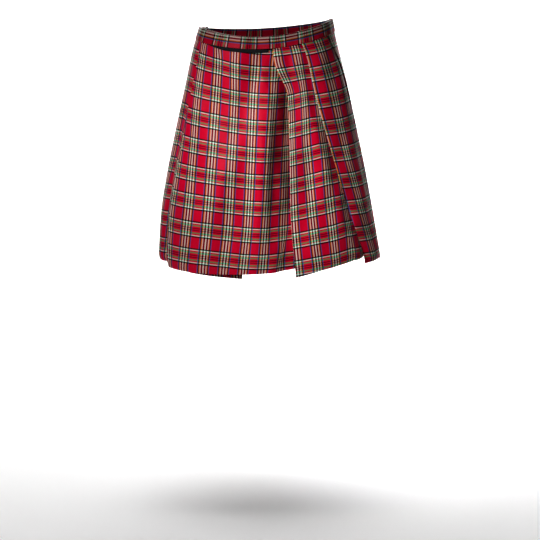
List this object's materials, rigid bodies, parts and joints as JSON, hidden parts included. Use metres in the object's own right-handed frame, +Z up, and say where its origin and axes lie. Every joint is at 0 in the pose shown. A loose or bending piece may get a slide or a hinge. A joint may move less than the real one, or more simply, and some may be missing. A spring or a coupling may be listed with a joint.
{
  "type": "scottish kilt",
  "caption": "Worn tartan wrap skirt with a flat front apron, knife pleats, a waistband and a hook-and-loop closing strip.",
  "frame": {"origin": "middle of the waist opening, level with the middle of the waistband, where the wearer's waist holds the kilt", "axes": "+Z up along the wearer, -Y out of the front apron, +X towards the wearer's left"},
  "size_m": [0.503, 0.3519, 0.5639],
  "materials": {
    "tartan": "matte",
    "tartan_inside": "matte",
    "tartan_band": "matte",
    "tape": "matte"
  },
  "bodies": {
    "root": {"front_panel": "tartan", "back_panel": "tartan", "under_apron": "tartan_inside", "waistband": "tartan_band", "closure_strip": "tape"}
  },
  "joints": []
}
